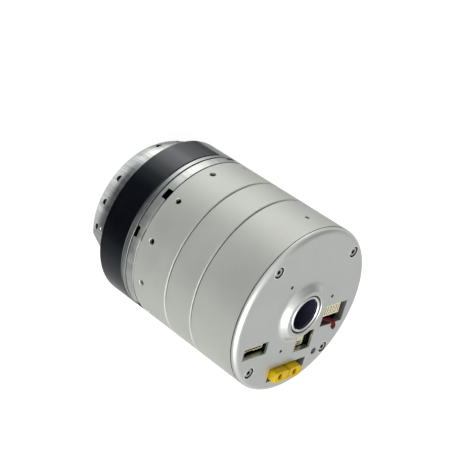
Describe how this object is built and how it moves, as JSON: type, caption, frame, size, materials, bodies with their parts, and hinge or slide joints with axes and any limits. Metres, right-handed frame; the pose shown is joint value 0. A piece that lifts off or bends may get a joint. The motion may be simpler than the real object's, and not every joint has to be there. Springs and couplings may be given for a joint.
{
  "type": "robot joint actuator",
  "caption": "Cylindrical hollow-shaft robot joint actuator: geared motor barrel with a black band, a turning output flange and a flat rear cap with plug windows and a through cable bore.",
  "frame": {"origin": "centre of the output flange's outer face", "axes": "+Z along the joint axis from the output flange to the rear cap; +Y away from the power connector; +X along the connector windows"},
  "size_m": [0.0602, 0.0602, 0.0782],
  "materials": {
    "bead_blasted_aluminium": "bead-blasted, slightly warm silver anodise",
    "turned_aluminium": "fine-turned, circumferential lay",
    "black_anodised": "smooth satin black anodise",
    "bearing_steel": "ground",
    "spring_steel": "satin",
    "stainless_screw": "bright",
    "polished_tube": "polished",
    "silicon_steel": "laminated stack",
    "copper": "enamelled wire",
    "magnet_nickel": "nickel plate",
    "encoder_magnet": "bonded ferrite",
    "friction_lining": "moulded lining",
    "brake_iron": "phosphated",
    "seal_rubber": "matt",
    "circuit_board": "dark green solder mask",
    "chip_black": "moulded",
    "connector_yellow": "nylon",
    "connector_cream": "nylon",
    "jumper_red": "PVC",
    "gold_contact": "gold flash",
    "light_lens": "tinted"
  },
  "bodies": {
    "housing": {"front_housing": "bead_blasted_aluminium", "middle_housing": "bead_blasted_aluminium", "rear_housing": "bead_blasted_aluminium", "rear_cap": "bead_blasted_aluminium", "cap_screws": "stainless_screw", "circular_spline": "turned_aluminium", "bearing_clamp_ring": "turned_aluminium", "bearing_housing": "turned_aluminium", "black_band": "black_anodised", "long_screws": "stainless_screw", "bearing_outer_ring_front": "bearing_steel", "bearing_outer_ring_rear": "bearing_steel", "output_seal": "seal_rubber", "rotor_bearing_outer_rings": "bearing_steel", "stator_core": "silicon_steel", "stator_windings": "copper", "brake_coil_body": "brake_iron", "brake_coil": "copper", "brake_pressure_plate": "brake_iron", "brake_spacers": "bearing_steel", "brake_screws": "stainless_screw", "brake_springs": "spring_steel", "encoder_board": "circuit_board", "driver_board": "circuit_board", "board_standoffs": "gold_contact", "board_screws": "stainless_screw", "board_components": "chip_black", "power_connector": "connector_yellow", "power_contacts": "gold_contact", "inlet_board": "circuit_board", "bus_connector": "connector_cream", "aux_connector": "connector_cream", "option_header": "connector_cream", "connector_pins": "gold_contact", "option_jumper": "jumper_red", "status_light_pipe": "light_lens"},
    "output": {"output_flange": "turned_aluminium", "flange_set_screws": "stainless_screw", "bearing_inner_ring": "bearing_steel", "bearing_inner_screws": "stainless_screw", "crossed_rollers": "bearing_steel", "flexspline": "spring_steel", "flexspline_clamp_plate": "bearing_steel", "flexspline_screws": "stainless_screw", "hollow_shaft": "polished_tube", "output_encoder_ring": "encoder_magnet"},
    "rotor": {"rotor_tube": "bearing_steel", "wave_generator_cam": "bearing_steel", "wave_bearing_inner_ring": "bearing_steel", "wave_bearing_outer_ring": "bearing_steel", "wave_bearing_balls": "bearing_steel", "rotor_bearing_inner_rings": "bearing_steel", "rotor_bearing_balls": "bearing_steel", "rotor_yoke": "silicon_steel", "rotor_magnets": "magnet_nickel", "brake_hub": "bearing_steel", "brake_friction_disc": "friction_lining", "motor_encoder_ring": "encoder_magnet"},
    "brake_plate": {"brake_armature": "brake_iron"}
  },
  "joints": [
    {"name": "output_turn", "type": "hinge", "parent": "housing", "child": "output", "pos_m": [0, 0, 0.016], "axis": [0, 0, 1], "continuous": true},
    {"name": "rotor_turn", "type": "hinge", "parent": "housing", "child": "rotor", "pos_m": [0, 0, 0.0316], "axis": [0, 0, 1], "continuous": true},
    {"name": "brake_travel", "type": "slide", "parent": "housing", "child": "brake_plate", "axis": [0, 0, 1], "range_m": [0, 0.0004], "deforming": ["brake_springs"]}
  ],
  "couplings": [
    {"joint": "rotor_turn", "follows": "output_turn", "ratio": -50}
  ]
}
